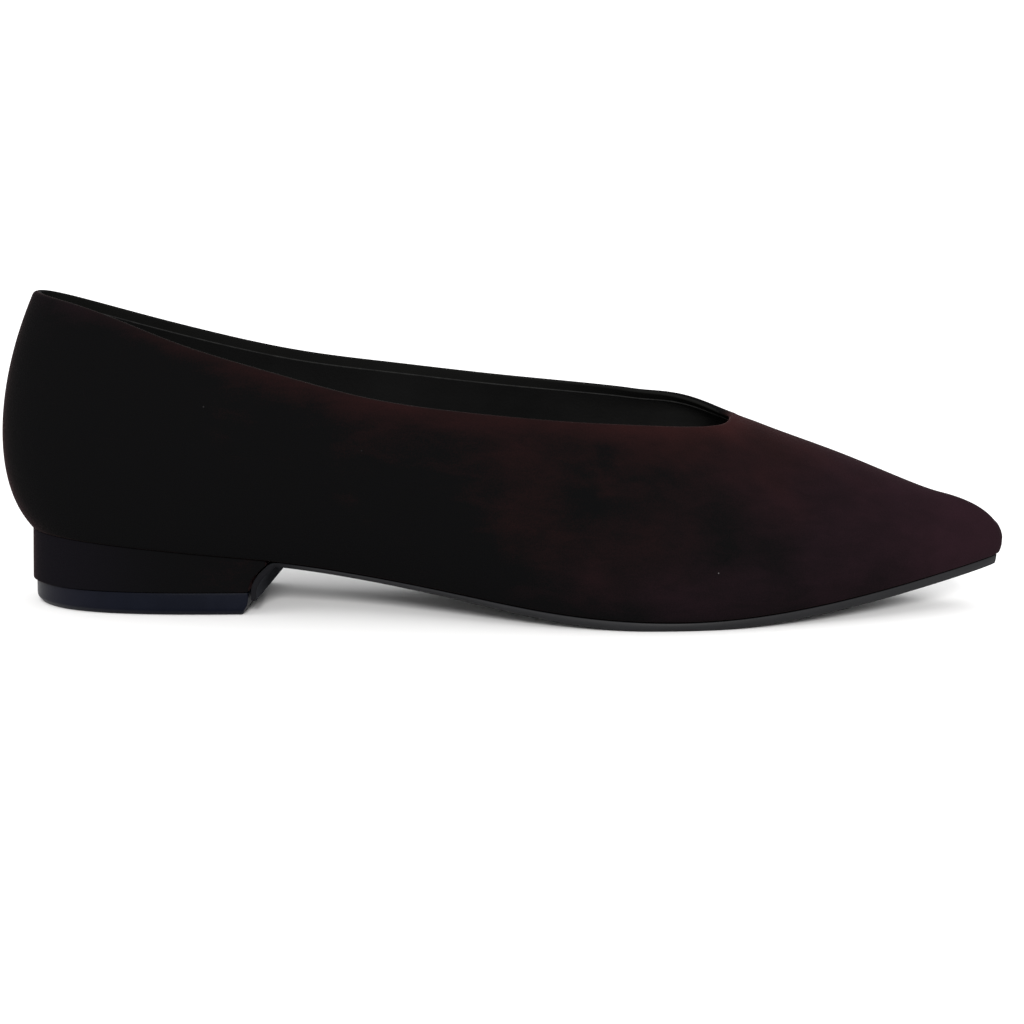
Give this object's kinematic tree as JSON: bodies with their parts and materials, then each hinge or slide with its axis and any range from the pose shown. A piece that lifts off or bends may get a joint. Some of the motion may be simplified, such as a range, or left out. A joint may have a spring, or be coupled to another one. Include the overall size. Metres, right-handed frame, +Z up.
{
  "type": "ballet flat",
  "caption": "Pointed ballet flat in dark burgundy suede: open collar with a rounded throat, black lining, thin black sole with a heel-breast flap and a low covered block heel. Right shoe.",
  "frame": {"origin": "on the floor plane, under the middle of the shoe's box", "axes": "+X from heel to toe, +Y from the outer to the inner side of the foot, +Z up"},
  "size_m": [0.2696, 0.0788, 0.0838],
  "materials": {
    "upper_suede": "dark burgundy suede",
    "sock_black": "smooth black lining leather",
    "sole_black": "black, slight sheen",
    "heel_suede": "dark burgundy suede cover",
    "lift_navy": "navy black, glossy"
  },
  "bodies": {
    "root": {"upper": "upper_suede", "insole": "sock_black", "outsole": "sole_black", "heel_block": "heel_suede", "heel_top_lift": "lift_navy"}
  },
  "joints": []
}
